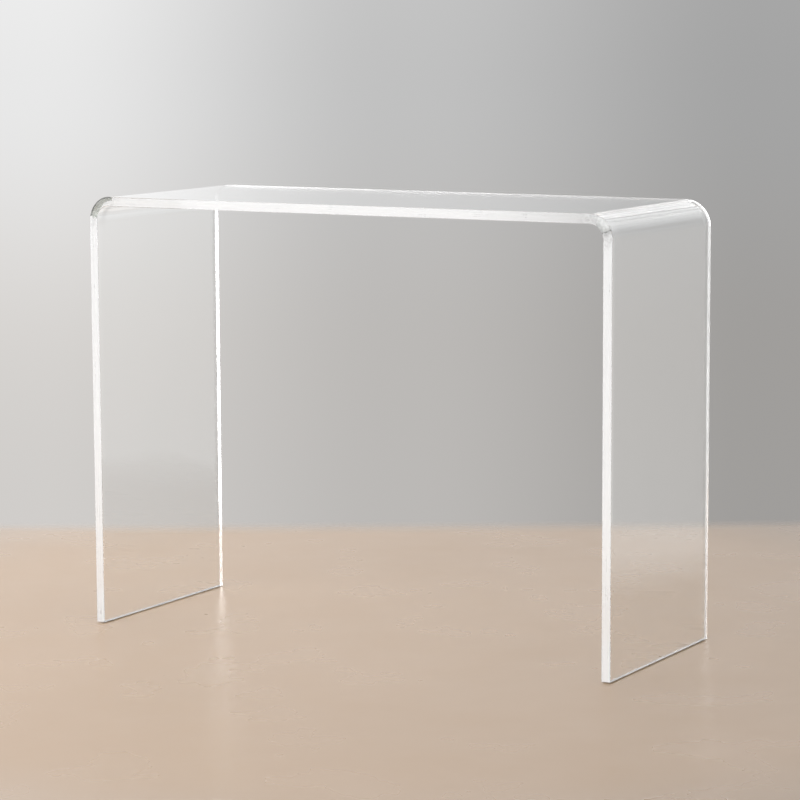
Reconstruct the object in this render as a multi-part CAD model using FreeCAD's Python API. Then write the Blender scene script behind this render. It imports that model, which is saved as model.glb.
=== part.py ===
import FreeCAD, Part
import math
import os

# Clear console table: one thick acrylic sheet, heat-bent twice into an upturned U,
# standing on four thin self-adhesive pads under the cut ends of its legs.
# Frame: origin on the floor below the middle of the top, +X to the right along the
# width, +Y to the back, +Z up. All lengths in millimetres.

# Overall size
WIDTH = 1016.0         # across the outer faces of the two legs
DEPTH = 387.35         # front cut edge to rear cut edge
HEIGHT = 762.0         # floor to top surface, standing on the pads

# Sheet
SHEET_T = 15.9         # sheet thickness
BEND_R_OUT = 41.3      # outside radius of each heat bend
EDGE_EASE = 0.8        # rounded arris along every cut edge

# Pads and the film that holds them
PAD_D = 12.7           # pad diameter
PAD_H = 1.4            # pad thickness
PAD_RIM_R = 0.7        # rounded lower rim of a pad
PAD_INSET = 32.0       # pad centre in from the front or rear cut edge
FILM_D = 12.1          # adhesive disc diameter
FILM_T = 0.15          # adhesive disc thickness

SHEET_Z0 = PAD_H + FILM_T            # level of the cut leg ends
BEND_R_IN = BEND_R_OUT - SHEET_T     # inside radius of each bend
PAD_X = WIDTH / 2 - SHEET_T / 2      # pads sit on the middle of the leg's thickness
PAD_Y = DEPTH / 2 - PAD_INSET


def vec(x, y, z):
    return FreeCAD.Vector(x, y, z)


def arc_through(centre_x, centre_z, radius, deg0, deg1, y):
    points = []
    for deg in (deg0, (deg0 + deg1) / 2.0, deg1):
        a = math.radians(deg)
        points.append(vec(centre_x + radius * math.cos(a), y, centre_z + radius * math.sin(a)))
    return Part.Arc(*points).toShape(), points[0], points[2]


def line(a, b):
    return Part.LineSegment(a, b).toShape()


def bent_sheet():
    """The sheet's section in the XZ plane, drawn once round, then swept straight back."""
    y = -DEPTH / 2
    cx = WIDTH / 2 - BEND_R_OUT
    cz = HEIGHT - BEND_R_OUT
    left_out, lo0, lo1 = arc_through(-cx, cz, BEND_R_OUT, 180, 90, y)
    right_out, ro0, ro1 = arc_through(cx, cz, BEND_R_OUT, 90, 0, y)
    right_in, ri0, ri1 = arc_through(cx, cz, BEND_R_IN, 0, 90, y)
    left_in, li0, li1 = arc_through(-cx, cz, BEND_R_IN, 90, 180, y)
    foot_lo = vec(-WIDTH / 2, y, SHEET_Z0)
    foot_ro = vec(WIDTH / 2, y, SHEET_Z0)
    foot_ri = vec(WIDTH / 2 - SHEET_T, y, SHEET_Z0)
    foot_li = vec(-WIDTH / 2 + SHEET_T, y, SHEET_Z0)
    outline = Part.Wire([
        line(foot_lo, lo0), left_out,
        line(lo1, ro0), right_out,
        line(ro1, foot_ro),
        line(foot_ro, foot_ri),
        line(foot_ri, ri0), right_in,
        line(ri1, li0), left_in,
        line(li1, foot_li),
        line(foot_li, foot_lo),
    ])
    solid = Part.Face(outline).extrude(vec(0, DEPTH, 0))
    # Every cut edge is eased: the two long outlines and the four ends of each foot.
    # The lines where a bend runs into a flat are smooth and stay as they are.
    cut = []
    for edge in solid.Edges:
        box = edge.BoundBox
        along_depth = box.YLength > DEPTH / 2
        at_foot = box.ZMax < SHEET_Z0 + 0.01
        if not along_depth or at_foot:
            cut.append(edge)
    eased = solid.makeFillet(EDGE_EASE, cut)
    return eased


def foot_pad(x, y):
    """A moulded disc: flat on the floor, rounded lower rim, flat top that takes the film."""
    r = PAD_D / 2
    k = PAD_RIM_R
    mid = vec(r - k + k * math.sin(math.pi / 4), 0, k - k * math.cos(math.pi / 4))
    half = Part.Wire([
        line(vec(0, 0, 0), vec(r - k, 0, 0)),
        Part.Arc(vec(r - k, 0, 0), mid, vec(r, 0, k)).toShape(),
        line(vec(r, 0, k), vec(r, 0, PAD_H)),
        line(vec(r, 0, PAD_H), vec(0, 0, PAD_H)),
        line(vec(0, 0, PAD_H), vec(0, 0, 0)),
    ])
    pad = Part.Face(half).revolve(vec(0, 0, 0), vec(0, 0, 1), 360)
    pad.translate(vec(x, y, 0))
    return pad


def pad_film(x, y):
    """The die-cut adhesive disc between a pad and the cut end of the leg."""
    return Part.makeCylinder(FILM_D / 2, FILM_T, vec(x, y, PAD_H), vec(0, 0, 1))


def one_solid(shape):
    solids = shape.Solids
    if len(solids) != 1 or not solids[0].isValid() or solids[0].Volume <= 0:
        raise ValueError("a piece didn't come out as one sound solid")
    return solids[0]


def main():
    os.makedirs("parts", exist_ok=True)
    pieces = {"bent_sheet": bent_sheet()}
    for depth_name, sy in (("front", -1), ("rear", 1)):
        for side_name, sx in (("left", -1), ("right", 1)):
            place = depth_name + "_" + side_name
            pieces["foot_pad_" + place] = foot_pad(sx * PAD_X, sy * PAD_Y)
            pieces["pad_adhesive_" + place] = pad_film(sx * PAD_X, sy * PAD_Y)
    for name, shape in pieces.items():
        solid = one_solid(shape)
        solid.exportStep("parts/" + name + ".step")
        box = solid.optimalBoundingBox()
        print(name, "volume %.2f mm3" % solid.Volume,
              "box %.2f %.2f %.2f to %.2f %.2f %.2f" % (
                  box.XMin, box.YMin, box.ZMin, box.XMax, box.YMax, box.ZMax))


main()
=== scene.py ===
import bpy
import math
import numpy as np
from mathutils import Matrix, Vector


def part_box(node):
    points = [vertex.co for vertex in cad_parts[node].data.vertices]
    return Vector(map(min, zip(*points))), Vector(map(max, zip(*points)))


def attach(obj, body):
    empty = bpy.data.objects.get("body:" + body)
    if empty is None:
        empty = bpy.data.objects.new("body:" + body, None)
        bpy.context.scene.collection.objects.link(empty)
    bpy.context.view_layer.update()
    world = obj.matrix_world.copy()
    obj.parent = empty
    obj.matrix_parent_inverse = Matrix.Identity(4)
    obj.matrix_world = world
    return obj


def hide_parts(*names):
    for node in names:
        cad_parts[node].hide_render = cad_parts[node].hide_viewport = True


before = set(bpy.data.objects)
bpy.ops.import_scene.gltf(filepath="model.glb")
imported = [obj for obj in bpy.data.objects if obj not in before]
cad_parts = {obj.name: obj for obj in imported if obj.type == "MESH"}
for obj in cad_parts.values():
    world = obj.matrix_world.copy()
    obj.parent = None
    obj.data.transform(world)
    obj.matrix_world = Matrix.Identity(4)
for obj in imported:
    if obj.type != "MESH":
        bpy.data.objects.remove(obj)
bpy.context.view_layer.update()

# ------------------------------------------------------------------ sizes
# Metres. The outer sizes come from the frame; the sheet's thickness, bend radius
# and eased arris are the same numbers that the construction uses.
lo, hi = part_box("bent_sheet")
HALF_W = (hi[0] - lo[0]) / 2
HALF_D = (hi[1] - lo[1]) / 2
TOP_Z = hi[2]
FOOT_Z = lo[2] + 0.00003      # a hair above the adhesive, so that the two faces don't share a plane
T = 0.0159
R_OUT = 0.0413
EASE = 0.0008
FOOT_EASE = 0.0007
SWELL = 0.00020
R_MID = R_OUT - T / 2
# Draw lines on the outside of each bend: degrees round from the top, height in metres, width in degrees.
DRAW_LINES = [(3.0, 0.000030, 1.3), (6.5, -0.000070, 0.8), (15.5, -0.000120, 0.9), (36.0, -0.000125, 0.9), (44.5, -0.000105, 0.9), (57.0, -0.000018, 1.4), (71.0, -0.000012, 1.8)]
# Painted shade along some of them, thin darker lines in the acrylic's colour standing in for dark lines in the bends'
# highlight: degrees round from the top, how strong it is, half its width in degrees.
PAINTED_SHADE_LINES = [(19.5, 0.70, 2.6), (38.8, 0.30, 2.2), (46.7, 0.50, 2.0)]
# The four ends of the bends: the degrees round from the top between which heat has glazed the cut edge,
# how deep its surface is crinkled, how far its outer corner is drawn in, how far its end flares and how far it lifts,
# in metres, how many degrees further round the top's satin reaches at the inner radius, the share of the thickness
# from which it does so, and how deep the crease is where the leg's satin begins, in metres.
ENDS = {
    "front_left": (-9.0, 81.0, 0.000028, 0.0011, 0.0011, 0.00090, 54.0, 0.40, 0.00012),
    "front_right": (22.0, 68.0, 0.000085, 0.0011, 0.0011, 0.00030, 9.0, 0.0, 0.00040),
    "rear_left": (22.0, 50.0, 0.000060, 0.0008, 0.0008, 0.00022, 0.0, 0.0, 0.00012),
    "rear_right": (-3.0, 76.0, 0.000010, 0.0002, 0.00012, 0.00003, 0.0, 0.0, 0.0),
}
# The bends aren't quite the same from end to end: how much larger their radius is at the front and at the rear.
WIDER = {"left": (0.0, 0.0), "right": (0.0010, 0.0050)}

LEG_LEN = TOP_Z - R_OUT - FOOT_Z
BEND_LEN = R_MID * math.pi / 2
TOP_LEN = 2 * (HALF_W - R_OUT)
S_BEND1 = LEG_LEN
S_TOP = S_BEND1 + BEND_LEN
S_BEND2 = S_TOP + TOP_LEN
S_LEG2 = S_BEND2 + BEND_LEN
S_END = S_LEG2 + LEG_LEN


# ------------------------------------------------------------------ helpers
def smooth(x):
    x = np.clip(x, 0.0, 1.0)
    return x * x * (3 - 2 * x)


def midline(s):
    """Point (x, z) on the sheet's middle and its outward normal (x, z), for an array of lengths along it."""
    s = np.asarray(s, float)
    x, z, nx, nz = (np.zeros_like(s) for _ in range(4))
    cx, cz = HALF_W - R_OUT, TOP_Z - R_OUT
    a = s <= S_BEND1
    x[a], z[a], nx[a], nz[a] = -HALF_W + T / 2, FOOT_Z + s[a], -1, 0
    b = (s > S_BEND1) & (s < S_TOP)
    f = (s[b] - S_BEND1) / R_MID
    nx[b], nz[b] = -np.cos(f), np.sin(f)
    x[b], z[b] = -cx + R_MID * nx[b], cz + R_MID * nz[b]
    c = (s >= S_TOP) & (s <= S_BEND2)
    x[c], z[c], nx[c], nz[c] = -cx + s[c] - S_TOP, TOP_Z - T / 2, 0, 1
    d = (s > S_BEND2) & (s < S_LEG2)
    f = (s[d] - S_BEND2) / R_MID
    nx[d], nz[d] = np.sin(f), np.cos(f)
    x[d], z[d] = cx + R_MID * nx[d], cz + R_MID * nz[d]
    e = s >= S_LEG2
    x[e], z[e], nx[e], nz[e] = HALF_W - T / 2, TOP_Z - R_OUT - (s[e] - S_LEG2), 1, 0
    return x, z, nx, nz


def crinkle(q, n, k):
    """Uneven folds in the skin of a heated cut edge, between about -1 and 1."""
    a = np.sin(880 * q + 2.0 * np.sin(720 * n + 0.7) + 1.3 * k)
    b = np.sin(1240 * n + 1.8 * np.sin(830 * q + 1.9) + 2.1 * k)
    c = np.sin(1500 * q + 1150 * n + 1.6 * np.sin(640 * q - 910 * n + k))
    return 0.55 * a * b + 0.45 * c


def wider_bend(turn, n, more):
    """How far a layer of the sheet moves outwards where the bend's radius is larger by more, both flats staying where they are."""
    r = R_MID + n
    far = np.maximum(-turn, turn - math.pi / 2) * R_MID           # distance along a flat from the bend
    both = np.sin(np.clip(turn, 0, math.pi / 2)) + np.cos(np.clip(turn, 0, math.pi / 2))
    inside = -more * both + np.sqrt((more * both) ** 2 + (r + more) ** 2 - 2 * more ** 2) - r
    beside = np.sqrt((r + more) ** 2 - np.clip(more - far, 0, None) ** 2) - (r + more)
    return np.where(far > 0, beside, inside)


def surface(s, n, y):
    """World points of the bent sheet at length s, depth n through the thickness and y.
    Heat bending leaves a bend that isn't a perfect cylinder: its ends flare, because the
    inside of the bend is squeezed outwards and the outside drawn in, and its faces keep
    faint ripples along the bend from the heater and the cooling."""
    s, n, y = np.broadcast_arrays(np.asarray(s, float), np.asarray(n, float), np.asarray(y, float))
    x, z, nx, nz = midline(s)
    dn, dy = np.zeros_like(s), np.zeros_like(s)
    for k, mid in enumerate((S_BEND1 + BEND_LEN / 2, S_BEND2 + BEND_LEN / 2)):
        q = s - mid
        w = smooth((BEND_LEN / 2 + 0.014 - np.abs(q)) / (BEND_LEN / 2 + 0.004))
        edge = smooth((np.abs(y) - (HALF_D - 0.030)) / 0.030)
        side = "right" if k else "left"
        last, fold, pull, flare, lift, crease = (np.where(y < 0, ENDS["front_" + side][i], ENDS["rear_" + side][i]) for i in (1, 2, 3, 4, 5, 8))
        top_side = (BEND_LEN / 2 + (q if k else -q)) / R_MID         # radians round from the top
        dy = dy - np.sign(y) * w * edge * flare * (n / (T / 2)) * np.where(n > 0, 0.7, 1.0)
        dn = dn + w * edge * lift
        # The outer corner is stretched, so it draws in and rounds off.
        draw = smooth((n - (T / 2 - 0.0060)) / 0.0060) * smooth((np.abs(y) - (HALF_D - 0.0060)) / 0.0060)
        dy = dy - np.sign(y) * w * draw * pull
        dn = dn - w * draw * pull * 0.18
        # The skin of the cut edge is crinkled by the heat.
        skin = smooth((np.abs(y) - (HALF_D - 0.0025)) / 0.0025)
        dy = dy - np.sign(y) * w * skin * fold * (0.8 + crinkle(q, n, k))
        dy = dy - np.sign(y) * skin * crease * np.exp(-0.5 * ((top_side - np.radians(last)) / 0.022) ** 2)
        out = n > 0
        ph = 1.7 * k + np.where(out, 0.0, 2.1)
        wob = 0.35 * np.sin(2 * math.pi * y / 0.31 + ph) + 0.2 * np.sin(2 * math.pi * y / 0.137 + 2 * ph)
        rip = (np.sin(2 * math.pi * q / 0.0123 + ph + wob) * 0.000022
               + np.sin(2 * math.pi * q / 0.0071 + 2.3 * ph - wob) * 0.000010)
        # Draw lines: a few fine marks along the bend's outer face, at fixed places round it.
        dn = dn + wider_bend(top_side, n, WIDER[side][0] + (WIDER[side][1] - WIDER[side][0]) * (0.5 + y / (2 * HALF_D)))
        for deg, depth, wide in DRAW_LINES:
            at = math.radians(deg) + 0.009 * np.sin(2 * math.pi * y / 0.23 + deg) + 0.004 * np.sin(2 * math.pi * y / 0.081 + 2 * deg + k)
            fade = 0.75 + 0.25 * np.sin(2 * math.pi * y / 0.17 + 0.6 * deg + 2 * k)
            rip = rip + np.where(out, depth * fade * np.exp(-0.5 * ((top_side - at) / math.radians(wide)) ** 2), 0.0)
        dn = dn + w * rip * np.clip(n / (T / 2 - EASE), -1, 1)
    # The flats are level to a few hundredths of a millimetre, not to an optical flat. Both faces go the same way.
    flat = (0.000016 * np.sin(2 * math.pi * (s / 0.273 + 0.31 * y / 0.2) + 0.4)
            + 0.000012 * np.sin(2 * math.pi * (y / 0.187 - 0.27 * s / 0.2) + 1.9))
    dn = dn + flat
    # The saw's heat leaves the sheet a little thicker along its cut edges.
    dn = dn + SWELL * np.clip((np.abs(y) - (HALF_D - 0.012)) / 0.012, 0, 1) ** 2 * np.clip(n / (T / 2 - EASE), -1, 1)
    m = n + dn
    return np.stack([x + m * nx, y + dy, z + m * nz], -1)


def link(obj):
    bpy.context.scene.collection.objects.link(obj)
    return obj


# ------------------------------------------------------------------ the sheet
def steps(a, b, step):
    k = max(1, int(round((b - a) / step)))
    return [a + (b - a) * i / k for i in range(k + 1)]


def sheet_stations():
    s = [0.0 + FOOT_EASE]
    s += steps(0.004, LEG_LEN - 0.06, 0.03)
    s += steps(LEG_LEN - 0.06, S_BEND1 - 0.012, 0.004)[1:]
    s += steps(S_BEND1 - 0.012, S_BEND1, 0.0008)[1:]
    s += steps(S_BEND1, S_TOP, BEND_LEN / 184)[1:]
    s += steps(S_TOP, S_TOP + 0.012, 0.0008)[1:]
    s += steps(S_TOP + 0.012, S_TOP + 0.06, 0.004)[1:]
    s += steps(S_TOP + 0.06, S_BEND2 - 0.06, 0.03)[1:]
    s += steps(S_BEND2 - 0.06, S_BEND2 - 0.012, 0.004)[1:]
    s += steps(S_BEND2 - 0.012, S_BEND2, 0.0008)[1:]
    s += steps(S_BEND2, S_LEG2, BEND_LEN / 184)[1:]
    s += steps(S_LEG2, S_LEG2 + 0.012, 0.0008)[1:]
    s += steps(S_LEG2 + 0.012, S_LEG2 + 0.06, 0.004)[1:]
    s += steps(S_LEG2 + 0.06, S_END - 0.004, 0.03)[1:]
    s += [S_END - FOOT_EASE]
    return np.array(s)


def ring(inset=0.0):
    """Points round the sheet's section: (n, y), the outward normal there, the way round, and which side each span to the next point is on."""
    e = EASE - inset
    hn, hy = T / 2 - EASE, HALF_D - EASE     # arris centres
    y_in = [0, 0.0012, 0.003, 0.006, 0.010, 0.015, 0.021, 0.028, 0.036]
    ys = [-hy + v for v in y_in] + steps(-hy + 0.036, hy - 0.036, 0.009)[1:-1] + [hy - v for v in reversed(y_in)]
    ns = steps(-hn, hn, 2 * hn / 22)
    k = 6
    pts, nor, kind = [], [], []
    for y in ys:
        pts.append((hn + e, y)); nor.append((1, 0)); kind.append("outer")
    kind[-1] = "arris"
    for i in range(1, k):
        a = math.pi / 2 * i / k
        pts.append((hn + e * math.cos(a), hy + e * math.sin(a))); nor.append((math.cos(a), math.sin(a))); kind.append("arris")
    for n in reversed(ns):
        pts.append((n, hy + e)); nor.append((0, 1)); kind.append("cut")
    kind[-1] = "arris"
    for i in range(1, k):
        a = math.pi / 2 + math.pi / 2 * i / k
        pts.append((-hn + e * math.cos(a), hy + e * math.sin(a))); nor.append((math.cos(a), math.sin(a))); kind.append("arris")
    for y in reversed(ys):
        pts.append((-hn - e, y)); nor.append((-1, 0)); kind.append("inner")
    kind[-1] = "arris"
    for i in range(1, k):
        a = math.pi + math.pi / 2 * i / k
        pts.append((-hn + e * math.cos(a), -hy + e * math.sin(a))); nor.append((math.cos(a), math.sin(a))); kind.append("arris")
    for n in ns:
        pts.append((n, -hy - e)); nor.append((0, -1)); kind.append("cut")
    kind[-1] = "arris"
    for i in range(1, k):
        a = 3 * math.pi / 2 + math.pi / 2 * i / k
        pts.append((hn + e * math.cos(a), -hy + e * math.sin(a))); nor.append((math.cos(a), math.sin(a))); kind.append("arris")
    return np.array(pts), np.array(nor), kind, len(ys), len(ns), k


def build_sheet():
    st = sheet_stations()
    pts, nor, kind, n_y, n_n, k = ring()
    count = len(pts)
    rows, normals, sizes = [], [], []

    def add_row(s, p, lean):
        """One ring of vertices. lean turns the normals from the section's own way to the foot's."""
        n, y = p[:, 0], p[:, 1]
        tn, ty = -nor[:, 1], nor[:, 0]
        d = 2e-5
        here = surface(np.full(count, s), n, y)
        along = surface(np.full(count, s + d), n, y) - surface(np.full(count, s - d), n, y)
        across = surface(np.full(count, s), n + d * tn, y + d * ty) - surface(np.full(count, s), n - d * tn, y - d * ty)
        v = np.cross(across, along)
        v /= np.linalg.norm(v, axis=1)[:, None]
        x, z, nx, nz = midline(np.array([s]))
        want = np.stack([nor[:, 0] * nx[0], nor[:, 1], nor[:, 0] * nz[0]], -1)
        v *= np.sign((v * want).sum(1))[:, None]
        if lean:
            v = v * math.cos(lean) + np.array([0, 0, -1.0]) * math.sin(lean)
        rows.append(here)
        normals.append(v)
        sizes.append(s)

    turns = 6
    for i in range(turns):                       # left foot, from its cut end up
        a = math.pi / 2 * (1 - i / turns)
        p = ring(FOOT_EASE * (1 - math.cos(a)))[0]
        add_row(FOOT_EASE * (1 - math.sin(a)), p, a)
    for s in st:
        add_row(float(s), pts, 0.0)
    for i in range(1, turns + 1):                # right foot
        a = math.pi / 2 * i / turns
        p = ring(FOOT_EASE * (1 - math.cos(a)))[0]
        add_row(S_END - FOOT_EASE * (1 - math.sin(a)), p, a)

    verts = np.concatenate(rows)
    norms = np.concatenate(normals)
    faces, slots = [], []
    for r in range(len(rows) - 1):
        mid = (sizes[r] + sizes[r + 1]) / 2
        for j in range(count):
            j2 = (j + 1) % count
            faces.append((r * count + j, r * count + j2, (r + 1) * count + j2, (r + 1) * count + j))
            if kind[j] not in ("cut", "arris"):
                slots.append(0)
                continue
            # The cut edge loses its satin where the sheet was heated, with an uneven border.
            left = mid < S_END / 2
            turn = math.degrees(((S_TOP - mid) if left else (mid - S_BEND2)) / R_MID)
            end = ("front_" if pts[j, 1] < 0 else "rear_") + ("left" if left else "right")
            a0, a1, lean, start = ENDS[end][:2] + ENDS[end][6:8]
            jit = 2.2 * math.sin(0.42 * j + 0.7) + 0.8 * math.sin(1.15 * j + left)
            deep = max(0.0, 0.5 - pts[j, 0] / T)              # 0 at the outer face, 1 at the inner one
            # Painted shade: the inner half of the rear right cut edge, past the bend, goes to the darker slot 7.
            shaded_dull = kind[j] == "cut" and end == "rear_right" and deep > 0.48 and turn > 4
            if kind[j] == "cut" and end == "rear_left" and 60 + jit < turn < 93:
                slots.append(1)                               # scraped, not buffed
            elif a0 + lean * max(0.0, (deep - start) / (1 - start)) ** 0.85 + jit < turn < a1 + 0.8 * jit:
                slots.append(7 if shaded_dull else 2 + list(ENDS).index(end))
            else:
                slots.append(0 if kind[j] != "cut" else 1 if pts[j, 1] < 0 else 7 if shaded_dull else 6)
    outer0, inner0 = 0, (n_y - 1) + k + (n_n - 1) + k
    for r, flip in ((0, False), (len(rows) - 1, True)):       # the two cut foot ends
        base = r * count
        out = [base + outer0 + i for i in range(n_y)]
        inn = [base + inner0 + (n_y - 1 - i) for i in range(n_y)]
        for i in range(n_y - 1):
            quad = (out[i], inn[i], inn[i + 1], out[i + 1])
            faces.append(tuple(reversed(quad)) if flip else quad)
            slots.append(8)
        rear = [base + i for i in range(n_y - 1, inner0 + 1)]
        front = [base + i for i in range(inner0 + n_y - 1, count)] + [base]
        for loop in (rear, front):
            faces.append(tuple(loop) if flip else tuple(reversed(loop)))
            slots.append(8)
    mesh = bpy.data.meshes.new("acrylic_sheet")
    mesh.from_pydata(verts.tolist(), [], faces)
    mesh.polygons.foreach_set("material_index", slots)
    mesh.polygons.foreach_set("use_smooth", [True] * len(faces))
    mesh.update()
    # Outward faces: the way round is the same all over, so one test settles it.
    p = mesh.polygons[len(faces) // 2]
    want = norms[p.vertices[0]]
    if Vector(want).dot(p.normal) < 0:
        mesh.flip_normals()
    mesh.normals_split_custom_set_from_vertices(norms.tolist())
    obj = link(bpy.data.objects.new("acrylic_sheet", mesh))
    return obj


# ------------------------------------------------------------------ pads
def build_pad(name, cx, cy, bottom, top, radius):
    """A moulded disc with a rounded lower rim, a drafted side and a shallow dished underside with a fine moulded ring."""
    h = top - bottom
    k = 0.0007
    prof = [(0.0, 0.00016), (0.0011, 0.00016), (0.0014, 0.00012), (0.0017, 0.00016), (0.0034, 0.00013), (0.0040, 0.00004), (0.0046, 0.0)]
    for i in range(0, 7):
        a = math.pi / 2 * i / 6
        prof.append((radius - k + k * math.sin(a), k - k * math.cos(a)))
    prof += [(radius - 0.00003, h - 0.00025), (radius - 0.00012, h - 0.00008), (radius - 0.00030, h), (0.0030, h), (0.0, h)]
    seg = 72
    verts, faces = [], []
    ringed = [p for p in prof if p[0] > 0]
    for (r, z) in ringed:
        for j in range(seg):
            a = 2 * math.pi * j / seg
            verts.append((cx + r * math.cos(a), cy + r * math.sin(a), bottom + z))
    for i in range(len(ringed) - 1):
        for j in range(seg):
            j2 = (j + 1) % seg
            faces.append((i * seg + j, i * seg + j2, (i + 1) * seg + j2, (i + 1) * seg + j))
    low, high = len(verts), len(verts) + 1
    verts += [(cx, cy, bottom + prof[0][1]), (cx, cy, top)]
    last = (len(ringed) - 1) * seg
    for j in range(seg):
        j2 = (j + 1) % seg
        faces.append((low, j2, j))
        faces.append((high, last + j, last + j2))
    mesh = bpy.data.meshes.new(name)
    mesh.from_pydata(verts, [], faces)
    mesh.polygons.foreach_set("use_smooth", [True] * len(faces))
    mesh.update()
    return link(bpy.data.objects.new(name, mesh))


# ------------------------------------------------------------------ materials
class Tree:
    """A short way to write node materials."""

    def __init__(self, name):
        self.mat = bpy.data.materials.new(name)
        self.mat.use_nodes = True
        self.nt = self.mat.node_tree
        self.nt.nodes.clear()
        self.out = self.node("ShaderNodeOutputMaterial")

    def node(self, kind, **settings):
        n = self.nt.nodes.new(kind)
        for key, value in settings.items():
            setattr(n, key, value)
        return n

    def wire(self, a, b):
        self.nt.links.new(a, b)

    def coords(self, scale=(1, 1, 1)):
        tc = self.node("ShaderNodeTexCoord")
        mp = self.node("ShaderNodeMapping")
        mp.inputs["Scale"].default_value = scale
        self.wire(tc.outputs["Object"], mp.inputs["Vector"])
        return mp.outputs["Vector"]

    def noise(self, vec, scale, detail=4.0, rough=0.55):
        n = self.node("ShaderNodeTexNoise")
        n.inputs["Scale"].default_value = scale
        n.inputs["Detail"].default_value = detail
        n.inputs["Roughness"].default_value = rough
        self.wire(vec, n.inputs["Vector"])
        return n.outputs["Fac"]

    def remap(self, value, a, b, c, d):
        n = self.node("ShaderNodeMapRange")
        for key, v in (("From Min", a), ("From Max", b), ("To Min", c), ("To Max", d)):
            n.inputs[key].default_value = v
        self.wire(value, n.inputs["Value"])
        return n.outputs["Result"]

    def math(self, op, a, b=None):
        n = self.node("ShaderNodeMath", operation=op)
        for i, v in enumerate((a, b)):
            if v is None:
                continue
            if isinstance(v, (int, float)):
                n.inputs[i].default_value = v
            else:
                self.wire(v, n.inputs[i])
        return n.outputs[0]

    def ramp(self, value, stops):
        n = self.node("ShaderNodeValToRGB")
        el = n.color_ramp.elements
        while len(el) < len(stops):
            el.new(0.5)
        for e, (at, col) in zip(el, stops):
            e.position = at
            e.color = (*col, 1)
        self.wire(value, n.inputs["Fac"])
        return n.outputs["Color"]

    def bump(self, height, strength, distance):
        n = self.node("ShaderNodeBump")
        n.inputs["Strength"].default_value = strength
        n.inputs["Distance"].default_value = distance
        self.wire(height, n.inputs["Height"])
        return n.outputs["Normal"]

    def principled(self, **values):
        p = self.node("ShaderNodeBsdfPrincipled")
        for key, v in values.items():
            key = key.replace("_", " ").title().replace("Ior", "IOR")
            p.inputs[key].default_value = v
        return p


def clear_acrylic():
    """Gloss cast acrylic: colourless, with a trace of hazy handling in the gloss, and thin darker lines painted along
    the bends' draw lines as painted shade. Lamps reach through it.
    """
    m = Tree("clear_acrylic")
    p = m.principled(transmission_weight=1.0, ior=1.49)
    co = m.coords()
    cloud = m.noise(co, 9.0, 5.0)
    fine = m.noise(m.coords((1, 6, 1)), 240.0, 3.0)
    sep, u, v = edge_places(m)
    outside = m.remap(m.math("SQRT", m.math("ADD", m.math("MULTIPLY", u, u), m.math("MULTIPLY", v, v))), R_MID - 0.001, R_MID + 0.001, 0.0, 1.0)
    turn = m.math("ADD", m.math("ARCTAN2", u, v), m.remap(m.noise(m.coords((0, 1, 0)), 14.0, 2.0), 0.3, 0.7, -0.010, 0.010))
    # Painted shade: thin darker lines in the colour round the bends' outer face, standing in for dark lines in their
    # highlight.
    line_shade = 0.0
    for deg, strength, wide in PAINTED_SHADE_LINES:
        far = m.math("ABSOLUTE", m.math("SUBTRACT", turn, math.radians(deg)))
        line_shade = m.math("ADD", m.remap(far, 0.0, math.radians(wide), strength, 0.0), line_shade)
    line_shade = m.math("MULTIPLY", m.math("MULTIPLY", line_shade, outside), m.remap(m.noise(co, 60.0, 3.0), 0.35, 0.65, 0.55, 1.0))
    tint = m.node("ShaderNodeVectorMath", operation="SCALE")
    m.wire(m.ramp(cloud, [(0.3, (0.985, 0.992, 0.990)), (0.7, (0.995, 0.998, 0.997))]), tint.inputs[0])
    m.wire(m.math("SUBTRACT", 1.0, line_shade), tint.inputs["Scale"])
    m.wire(tint.outputs["Vector"], p.inputs["Base Color"])
    rough = m.math("ADD", m.remap(cloud, 0.35, 0.75, 0.003, 0.010), m.remap(fine, 0.62, 0.8, 0.0, 0.004))
    m.wire(rough, p.inputs["Roughness"])
    clear = m.node("ShaderNodeBsdfTransparent")
    clear.inputs["Color"].default_value = (0.97, 0.975, 0.975, 1)
    path = m.node("ShaderNodeLightPath")
    mix = m.node("ShaderNodeMixShader")
    m.wire(path.outputs["Is Shadow Ray"], mix.inputs[0])
    m.wire(p.outputs["BSDF"], mix.inputs[1])
    m.wire(clear.outputs["BSDF"], mix.inputs[2])
    m.wire(mix.outputs["Shader"], m.out.inputs["Surface"])
    return m.mat


def edge_places(m):
    """Where a point is on the cut edges: u past the top's flat, v above the leg's flat, and how deep under the outer face."""
    tc = m.node("ShaderNodeTexCoord")
    sep = m.node("ShaderNodeSeparateXYZ")
    m.wire(tc.outputs["Object"], sep.inputs["Vector"])
    u = m.math("SUBTRACT", m.math("ABSOLUTE", sep.outputs["X"]), HALF_W - R_OUT)
    v = m.math("SUBTRACT", sep.outputs["Z"], TOP_Z - R_OUT)
    return sep, u, v


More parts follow.
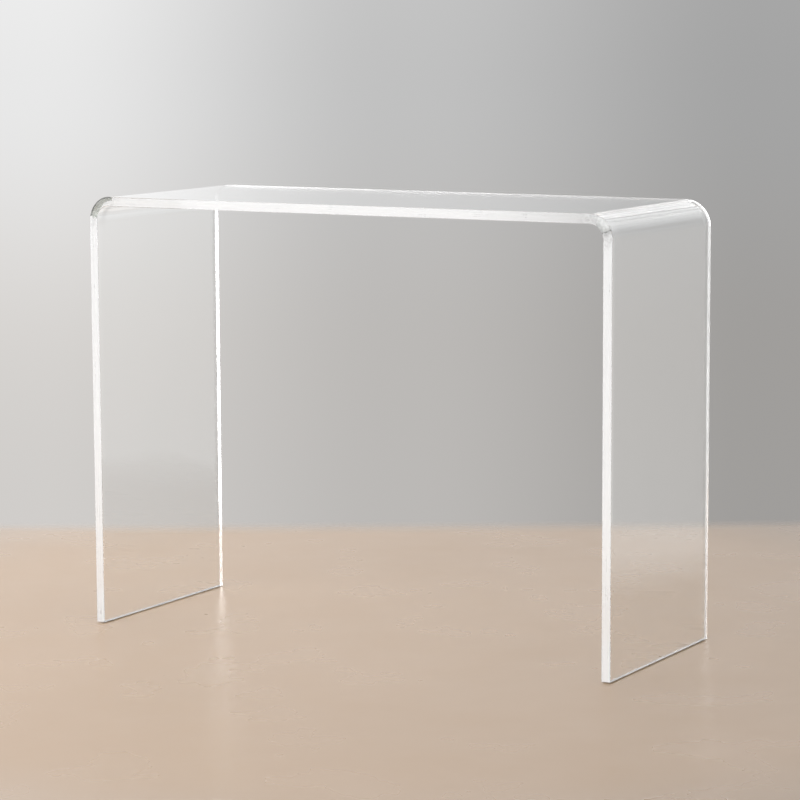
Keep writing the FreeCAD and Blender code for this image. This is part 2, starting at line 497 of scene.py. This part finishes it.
def satin_edge(name, clear, rough, fade, level):
    """The cut edges: machined and scraped, so they scatter light and read as white, with fine tool lines along them.
    They are duller and mottled where they come near the heat of a bend. clear is how much light goes
    through, fade how far the right end of the top is painted darker, as painted shade, and level how white it is
    painted at the foot and at the top, a painted gradient of shade."""
    m = Tree(name)
    p = m.principled(transmission_weight=clear, ior=1.49)
    sep, u, v = edge_places(m)
    co = m.coords()
    cloud = m.noise(co, 30.0, 4.0)
    speck = m.noise(co, 420.0, 3.0)
    # Tool lines run along the edge, whichever way it goes.
    under = m.math("SUBTRACT", R_OUT, m.math("MAXIMUM", u, v))
    along = m.math("ADD", sep.outputs["X"], sep.outputs["Z"])
    line = m.node("ShaderNodeCombineXYZ")
    m.wire(m.math("MULTIPLY", under, 620.0), line.inputs["X"])
    m.wire(m.math("MULTIPLY", along, 5.0), line.inputs["Y"])
    m.wire(m.math("MULTIPLY", sep.outputs["Y"], 4.0), line.inputs["Z"])
    lines = m.noise(line.outputs["Vector"], 1.0, 3.0)
    # Near a bend the satin is half melted. Along the right end of the top the white is painted darker: painted shade.
    near = m.remap(m.math("MAXIMUM", m.math("MULTIPLY", u, -1.0), m.math("MULTIPLY", v, -1.0)), 0.002, 0.026, 1.0, 0.0)
    melt = m.math("MULTIPLY", near, m.remap(m.noise(co, 190.0, 4.0), 0.40, 0.62, 0.0, 0.26))
    right_end_shade = m.math("MULTIPLY", m.remap(sep.outputs["X"], HALF_W - R_OUT - 0.22, HALF_W - R_OUT - 0.01, 0.0, fade), m.remap(v, 0.0, 0.012, 0.0, 1.0))
    keep = m.math("MULTIPLY", m.math("SUBTRACT", 1.0, melt), m.math("SUBTRACT", 1.0, right_end_shade))
    keep = m.math("MULTIPLY", keep, m.remap(lines, 0.30, 0.60, 0.93, 1.0))
    # Painted shade: the white is graded by height, from level[0] at the foot to level[1] at the top.
    keep = m.math("MULTIPLY", keep, m.remap(sep.outputs["Z"], 0.05, 0.60, level[0], level[1]))
    # Painted shade: the left leg's edges are painted a little darker.
    keep = m.math("MULTIPLY", keep, m.remap(sep.outputs["X"], -0.500, -0.455, 0.945, 1.0))
    tint = m.node("ShaderNodeVectorMath", operation="SCALE")
    m.wire(m.ramp(cloud, [(0.25, (0.945, 0.960, 0.972)), (0.75, (0.978, 0.988, 0.997))]), tint.inputs[0])
    m.wire(keep, tint.inputs["Scale"])
    m.wire(tint.outputs["Vector"], p.inputs["Base Color"])
    m.wire(m.remap(m.math("ADD", cloud, lines), 0.6, 1.4, rough[0], rough[1]), p.inputs["Roughness"])
    m.wire(m.bump(m.math("ADD", speck, lines), 0.10, 0.0003), p.inputs["Normal"])
    m.wire(p.outputs["BSDF"], m.out.inputs["Surface"])
    return m.mat


def bend_end(name, a0, a1, painted_shade_greys, rim, rough, bumpy, cracks, clear, mottle):
    """The cut edge inside a bend: heat has glazed it, so it is clear or milky and slightly uneven instead of satin,
    with a cracked border where the satin begins again. Its greys from its inner to its outer radius and the dark line
    round its outer rim are painted shade."""
    m = Tree("glazed_shaded_" + name)
    p = m.principled(transmission_weight=clear, ior=1.49)
    sep, u, v = edge_places(m)
    radius = m.math("SQRT", m.math("ADD", m.math("MULTIPLY", u, u), m.math("MULTIPLY", v, v)))
    turn = m.math("ARCTAN2", u, v)
    co = m.coords()
    cloud = m.noise(co, 170.0, 4.0)
    craze = m.noise(co, 560.0, 3.0)
    # Painted shade: the grey changes from the inner radius to the outer one.
    out = m.math("ADD", m.remap(radius, R_OUT - T, R_OUT, 0.0, 1.0), m.remap(cloud, 0.3, 0.7, -0.10, 0.10))
    # Painted shade: a dark line round the outer rim.
    line = m.math("MULTIPLY", m.remap(radius, R_OUT - 0.0024, R_OUT - 0.0010, 0.0, rim), m.remap(cloud, 0.3, 0.6, 0.75, 1.0))
    far0 = m.math("ABSOLUTE", m.math("SUBTRACT", turn, math.radians(a0)))
    far1 = m.math("ABSOLUTE", m.math("SUBTRACT", turn, math.radians(a1)))
    border = m.math("ADD", m.remap(far0, 0.01, 0.075, cracks[0], 0.0), m.remap(far1, 0.01, 0.075, cracks[1], 0.0))
    border = m.math("MULTIPLY", border, m.remap(craze, 0.42, 0.56, cracks[2], 1.0))
    shade = m.math("MULTIPLY", m.math("SUBTRACT", 1.0, line), m.math("SUBTRACT", 1.0, border))
    shade = m.math("MULTIPLY", shade, m.remap(cloud, 0.3, 0.7, mottle, 1.06))
    tint = m.node("ShaderNodeVectorMath", operation="SCALE")
    m.wire(m.ramp(out, painted_shade_greys), tint.inputs[0])
    m.wire(shade, tint.inputs["Scale"])
    m.wire(tint.outputs["Vector"], p.inputs["Base Color"])
    m.wire(m.remap(cloud, 0.3, 0.7, rough[0], rough[1]), p.inputs["Roughness"])
    m.wire(m.bump(m.noise(co, 260.0, 3.0), bumpy, 0.0008), p.inputs["Normal"])
    m.wire(p.outputs["BSDF"], m.out.inputs["Surface"])
    return m.mat


def grey(value, warm=0.03):
    return (value, value * (1.02 - 0.5 * warm), value * (1 - warm))


# Painted shade: a greenish grey for the front left bend's end, which cancels the warm floor light seen through it.
def greenish_shade(value):
    return (value, value * 1.11, value * 0.98)


def pad_material():
    m = Tree("clear_polyurethane")
    p = m.principled(transmission_weight=0.7, ior=1.5)
    co = m.coords()
    cloud = m.noise(co, 500.0, 4.0)
    m.wire(m.ramp(cloud, [(0.3, (0.80, 0.82, 0.81)), (0.7, (0.90, 0.91, 0.90))]), p.inputs["Base Color"])
    m.wire(m.remap(cloud, 0.3, 0.7, 0.22, 0.40), p.inputs["Roughness"])
    m.wire(m.bump(m.noise(co, 2400.0, 2.0), 0.2, 0.0001), p.inputs["Normal"])
    m.wire(p.outputs["BSDF"], m.out.inputs["Surface"])
    return m.mat


def film_material():
    m = Tree("adhesive_film")
    p = m.principled(transmission_weight=0.6, ior=1.47)
    co = m.coords()
    cloud = m.noise(co, 900.0, 5.0)
    m.wire(m.ramp(cloud, [(0.35, (0.84, 0.84, 0.80)), (0.65, (0.93, 0.93, 0.90))]), p.inputs["Base Color"])
    m.wire(m.remap(cloud, 0.3, 0.7, 0.30, 0.55), p.inputs["Roughness"])
    m.wire(m.bump(cloud, 0.3, 0.0001), p.inputs["Normal"])
    m.wire(p.outputs["BSDF"], m.out.inputs["Surface"])
    return m.mat


# ------------------------------------------------------------------ the object
sheet = build_sheet()
GLAZED_AND_SHADED = {   # painted shade greys from the inner radius to the outer one, the painted dark line round the outer rim, roughness, bump, cracks at the two borders, how clear it is and how mottled
    "front_left": ([(0.0, greenish_shade(0.60)), (0.22, greenish_shade(0.52)), (0.45, greenish_shade(0.42)), (0.85, greenish_shade(0.32))], 0.91, (0.05, 0.14), 0.12, (0.35, 0.55, 0.0), 1.0, 0.86),
    "front_right": ([(0.0, grey(0.54, -0.03)), (0.25, grey(0.62, -0.03)), (0.5, grey(0.86, -0.03)), (1.0, grey(0.92, -0.03))], 0.10, (0.04, 0.16), 0.26, (0.0, 0.95, 0.45), 0.45, 0.66),
    "rear_left": ([(0.0, grey(0.62)), (0.5, grey(0.70)), (1.0, grey(0.80))], 0.10, (0.03, 0.10), 0.20, (0.4, 0.6, 0.0), 1.0, 0.86),
    "rear_right": ([(0.0, grey(0.80)), (0.5, grey(0.92)), (1.0, grey(0.985, 0.01))], 0.0, (0.02, 0.06), 0.04, (0.0, 0.95, 0.8), 1.0, 0.86),
}
# The last pair of numbers is painted shade: how white each edge is painted at the foot and at the top.
front_edge = satin_edge("satin_cut_edge", 0.3, (0.24, 0.38), 0.22, (1.0, 0.945))
rear_edge = satin_edge("buffed_cut_edge", 0.85, (0.06, 0.13), 0.42, (1.0, 1.0))
# Painted shade: this material is painted grey, darker towards the top.
shaded_dull_edge = satin_edge("shaded_dull_cut_edge", 0.3, (0.20, 0.32), 0.10, (0.62, 0.40))
# Painted shade: the cut foot ends are painted grey, so that a dark line shows where the feet meet the floor.
shaded_sawn_end = satin_edge("shaded_sawn_end", 0.3, (0.30, 0.45), 0.0, (0.60, 0.60))
for mat in [clear_acrylic(), front_edge] + [bend_end(name, ENDS[name][0], ENDS[name][1], *GLAZED_AND_SHADED[name]) for name in ENDS] + [rear_edge, shaded_dull_edge, shaded_sawn_end]:
    sheet.data.materials.append(mat)
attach(sheet, "root")
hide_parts("bent_sheet")

pad_mat, film_mat = pad_material(), film_material()
for where in ("front_left", "front_right", "rear_left", "rear_right"):
    plo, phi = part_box("foot_pad_" + where)
    pad = build_pad("pad_" + where, (plo[0] + phi[0]) / 2, (plo[1] + phi[1]) / 2, plo[2], phi[2] - 0.00002, (phi[0] - plo[0]) / 2)
    pad.data.materials.append(pad_mat)
    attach(pad, "root")
    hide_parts("foot_pad_" + where)

for name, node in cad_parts.items():
    if name.startswith("pad_adhesive"):
        for slot in node.material_slots:
            slot.material = film_mat


# ------------------------------------------------------------------ stage
def build_floor():
    seg, radii = 96, [0.0, 0.5, 1.0, 1.5, 2.0, 2.5, 3.0, 3.5]
    verts, faces = [(0, 0, 0)], []
    for r in radii[1:]:
        verts += [(r * math.cos(2 * math.pi * j / seg), r * math.sin(2 * math.pi * j / seg), 0) for j in range(seg)]
    for j in range(seg):
        faces.append((0, 1 + j, 1 + (j + 1) % seg))
    for i in range(len(radii) - 2):
        a, b = 1 + i * seg, 1 + (i + 1) * seg
        for j in range(seg):
            j2 = (j + 1) % seg
            faces.append((a + j, b + j, b + j2, a + j2))
    mesh = bpy.data.meshes.new("floor")
    mesh.from_pydata(verts, [], faces)
    obj = link(bpy.data.objects.new("floor", mesh))
    obj.location.z = -0.0002
    m = Tree("pale_floor")
    p = m.principled(specular_ior_level=0.5)
    co = m.coords()
    cloud = m.noise(co, 1.3, 4.0)
    fine = m.noise(co, 5.0, 3.0)
    # Painted shade: further from the light on the left, the floor's colour is painted darker.
    side = m.node("ShaderNodeVectorMath", operation="DOT_PRODUCT")
    m.wire(co, side.inputs[0])
    side.inputs[1].default_value = (0.869, 0.495, 0.0)
    painted_shade_tone = m.node("ShaderNodeVectorMath", operation="SCALE")
    m.wire(m.ramp(cloud, [(0.3, (0.500, 0.336, 0.205)), (0.7, (0.530, 0.360, 0.225))]), painted_shade_tone.inputs[0])
    m.wire(m.remap(side.outputs["Value"], -0.7, 0.8, 1.06, 0.66), painted_shade_tone.inputs["Scale"])
    m.wire(painted_shade_tone.outputs["Vector"], p.inputs["Base Color"])
    m.wire(m.remap(fine, 0.3, 0.7, 0.26, 0.31), p.inputs["Roughness"])
    # The floor thins out with distance from the table into the plain backdrop, and sooner behind it and to its sides.
    ln = m.node("ShaderNodeVectorMath", operation="LENGTH")
    m.wire(co, ln.inputs[0])
    behind = m.node("ShaderNodeVectorMath", operation="DOT_PRODUCT")
    m.wire(co, behind.inputs[0])
    behind.inputs[1].default_value = (-0.495, 0.869, 0.0)
    reach = m.math("MAXIMUM", ln.outputs["Value"], m.remap(behind.outputs["Value"], 0.95, 1.13, 0.95, 1.9))
    reach = m.math("MAXIMUM", reach, m.remap(m.math("ABSOLUTE", side.outputs["Value"]), 0.85, 1.35, 0.95, 1.9))
    fade = m.node("ShaderNodeMapRange", interpolation_type="SMOOTHSTEP")
    fade.inputs["From Min"].default_value = 0.95
    fade.inputs["From Max"].default_value = 1.9
    m.wire(reach, fade.inputs["Value"])
    gone = m.node("ShaderNodeBsdfTransparent")
    mix = m.node("ShaderNodeMixShader")
    m.wire(fade.outputs["Result"], mix.inputs[0])
    m.wire(p.outputs["BSDF"], mix.inputs[1])
    m.wire(gone.outputs["BSDF"], mix.inputs[2])
    m.wire(mix.outputs["Shader"], m.out.inputs["Surface"])
    mesh.materials.append(m.mat)


build_floor()

scene = bpy.context.scene
world = bpy.data.worlds.new("studio")
scene.world = world
world.use_nodes = True
wt = world.node_tree
wt.nodes.clear()
w_out = wt.nodes.new("ShaderNodeOutputWorld")
w_bg = wt.nodes.new("ShaderNodeBackground")
w_tc = wt.nodes.new("ShaderNodeTexCoord")
w_sep = wt.nodes.new("ShaderNodeSeparateXYZ")
w_dot = wt.nodes.new("ShaderNodeVectorMath")
w_dot.operation = "DOT_PRODUCT"
w_dot.inputs[1].default_value = (0.869, 0.495, 0.0)


def w_scale(value, low, high, to_low=0.0, to_high=1.0, soft=False):
    n = wt.nodes.new("ShaderNodeMapRange")
    if soft:
        n.interpolation_type = "SMOOTHSTEP"
    for key, v in (("From Min", low), ("From Max", high), ("To Min", to_low), ("To Max", to_high)):
        n.inputs[key].default_value = v
    wt.links.new(value, n.inputs["Value"])
    return n.outputs["Result"]


def w_math(op, a, b):
    n = wt.nodes.new("ShaderNodeMath")
    n.operation = op
    for i, v in enumerate((a, b)):
        if isinstance(v, (int, float)):
            n.inputs[i].default_value = v
        else:
            wt.links.new(v, n.inputs[i])
    return n.outputs[0]


def w_ramp(value, stops):
    n = wt.nodes.new("ShaderNodeValToRGB")
    n.color_ramp.interpolation = "EASE"
    el = n.color_ramp.elements
    while len(el) < len(stops):
        el.new(0.5)
    for e, (at, col) in zip(el, stops):
        e.position = at
        e.color = (*col, 1)
    wt.links.new(value, n.inputs["Fac"])
    return n.outputs["Color"]


wt.links.new(w_tc.outputs["Generated"], w_sep.inputs["Vector"])
wt.links.new(w_tc.outputs["Generated"], w_dot.inputs[0])
# Backdrop by height: stops are (1 + sine of the elevation) / 2.
by_height = w_ramp(w_scale(w_sep.outputs["Z"], -1.0, 1.0), [
    (0.0, (0.42, 0.38, 0.33)), (0.44, (0.50, 0.485, 0.47)), (0.485, (0.53, 0.53, 0.53)), (0.505, (0.55, 0.55, 0.55)),
    (0.53, (0.66, 0.66, 0.66)), (0.575, (0.66, 0.66, 0.665)), (0.640, (0.68, 0.68, 0.685)), (0.685, (1.15, 1.15, 1.155)), (0.74, (1.12, 1.12, 1.12)), (1.0, (0.70, 0.70, 0.705))])
# Backdrop from side to side, near the horizon: lightest left of the view's middle line, darker to the right of it,
# and light again far to the right.
by_side = w_ramp(w_scale(w_dot.outputs["Value"], -1.0, 1.0), [
    (0.0, (0.28,) * 3), (0.20, (0.28,) * 3), (0.388, (0.43,) * 3), (0.44, (0.44,) * 3), (0.5, (0.288,) * 3), (0.56, (0.202,) * 3), (0.63, (0.20,) * 3),
    (0.75, (0.29,) * 3), (0.93, (0.55,) * 3), (1.0, (0.55,) * 3)])
w_even = wt.nodes.new("ShaderNodeMix")
w_even.data_type = "FLOAT"
w_even.inputs["B"].default_value = 0.288
wt.links.new(w_scale(w_sep.outputs["Z"], 0.08, 0.30), w_even.inputs["Factor"])
wt.links.new(by_side, w_even.inputs["A"])
# Higher up behind, the backdrop is a band of soft light that changes from left to right, with one duller gap in it.
by_back = w_ramp(w_scale(w_sep.outputs["X"], -0.5, 0.5), [(0.5 + at, (v / 2,) * 3) for at, v in (
    (-0.40, 1.05), (-0.33, 1.05), (-0.29, 0.98), (-0.24, 0.96), (-0.19, 0.76), (-0.15, 0.62), (-0.11, 0.76), (-0.05, 1.06), (0.05, 1.28),
    (0.13, 1.40), (0.20, 1.50), (0.25, 1.30), (0.30, 1.15), (0.35, 0.90), (0.39, 0.80))])
w_high = w_math("MULTIPLY", w_scale(w_sep.outputs["Z"], 0.10, 0.17, soft=True), w_scale(w_sep.outputs["Z"], 0.46, 0.60, 1.0, 0.0, soft=True))
w_high = w_math("MULTIPLY", w_high, w_scale(w_sep.outputs["Y"], 0.25, 0.50, soft=True))
# Low on the left the backdrop falls off.
w_low = w_math("MULTIPLY", w_scale(w_sep.outputs["Z"], -0.17, -0.02, 1.0, 0.0, soft=True), w_scale(w_dot.outputs["Value"], -0.11, 0.0, 0.17, 0.0, soft=True))
# So does the far right just above the horizon.
w_low = w_math("ADD", w_low, w_math("MULTIPLY", w_scale(w_sep.outputs["Z"], -0.03, 0.05, soft=True), w_scale(w_dot.outputs["Value"], 0.3, 0.7, 0.0, 0.24, soft=True)))
w_gain = w_math("MULTIPLY", w_math("MULTIPLY", w_even.outputs["Result"], 3.472), w_math("SUBTRACT", 1.0, w_low))
wt.links.new(by_height, w_bg.inputs["Color"])
wt.links.new(w_math("MULTIPLY", w_gain, w_math("SUBTRACT", 1.0, w_high)), w_bg.inputs["Strength"])
# Two large soft boxes in front: one to the left, which reaches down to the floor, and a higher one ahead.
w_turn = w_math("ARCTAN2", w_sep.outputs["X"], w_math("MULTIPLY", w_sep.outputs["Y"], -1.0))


def soft_box(turn, height, level):
    """A soft-edged patch of light. Each of turn (radians from straight ahead) and height (sine of the elevation) is where it rises and where it falls."""
    a = w_math("MULTIPLY", w_scale(w_turn, turn[0], turn[1], soft=True), w_scale(w_turn, turn[2], turn[3], 1.0, 0.0, soft=True))
    b = w_math("MULTIPLY", w_scale(w_sep.outputs["Z"], height[0], height[1], soft=True), w_scale(w_sep.outputs["Z"], height[2], height[3], level, 0.0, soft=True))
    return w_math("MULTIPLY", a, b)


boxes = w_math("ADD", soft_box((-1.20, -1.08, -0.53, -0.45), (-0.23, -0.19, 0.42, 0.50), 2.75), soft_box((-0.53, -0.45, 0.15, 0.30), (-0.06, -0.02, 0.45, 0.55), 1.6))


def w_light(colour, strength):
    n = wt.nodes.new("ShaderNodeBackground")
    if colour is not None:
        wt.links.new(colour, n.inputs["Color"])
    else:
        n.inputs["Color"].default_value = (1, 1, 1, 1)
    wt.links.new(strength, n.inputs["Strength"])
    return n.outputs["Background"]


def w_add(a, b):
    n = wt.nodes.new("ShaderNodeAddShader")
    wt.links.new(a, n.inputs[0])
    wt.links.new(b, n.inputs[1])
    return n.outputs["Shader"]


w_all = w_add(w_add(w_bg.outputs["Background"], w_light(by_back, w_math("MULTIPLY", w_high, 2.0))), w_light(None, boxes))
wt.links.new(w_all, w_out.inputs["Surface"])


def area(name, at, to, size, power):
    data = bpy.data.lights.new(name, "AREA")
    data.shape = "RECTANGLE"
    data.size, data.size_y = size
    data.energy = power
    obj = link(bpy.data.objects.new(name, data))
    obj.location = at
    obj.rotation_mode = "QUATERNION"
    obj.rotation_quaternion = (Vector(to) - Vector(at)).to_track_quat("-Z", "Y")
    obj.visible_camera = False
    return obj


area("overhead", (-0.4, -0.6, 4.5), (0, 0, 0), (4.0, 4.0), 16)

# ------------------------------------------------------------------ camera
az, el_, roll = math.radians(29.689), math.radians(7.642), math.radians(-0.271)
back = Vector((math.sin(az) * math.cos(el_), -math.cos(az) * math.cos(el_), math.sin(el_)))
right = (-back).cross(Vector((0, 0, 1))).normalized()
up = right.cross(-back)
right2 = math.cos(roll) * right + math.sin(roll) * up
up2 = -math.sin(roll) * right + math.cos(roll) * up
cam = bpy.data.cameras.new("camera")
cam.sensor_width = 36.0
cam.lens = 2992.385 / 800 * 36.0
cam.clip_end = 100
cam_obj = link(bpy.data.objects.new("camera", cam))
place = Matrix((right2, up2, back)).transposed().to_4x4()
place.translation = Vector((2.567477, -4.490245, 1.104120))
cam_obj.matrix_world = place
scene.camera = cam_obj

scene.view_settings.view_transform = "Standard"
scene.view_settings.look = "None"
# Light is piped along the sheet by some thirty reflections between its faces before it reaches an edge.
scene.cycles.max_bounces = 128
scene.cycles.transmission_bounces = 128
scene.cycles.glossy_bounces = 96
scene.cycles.transparent_max_bounces = 40
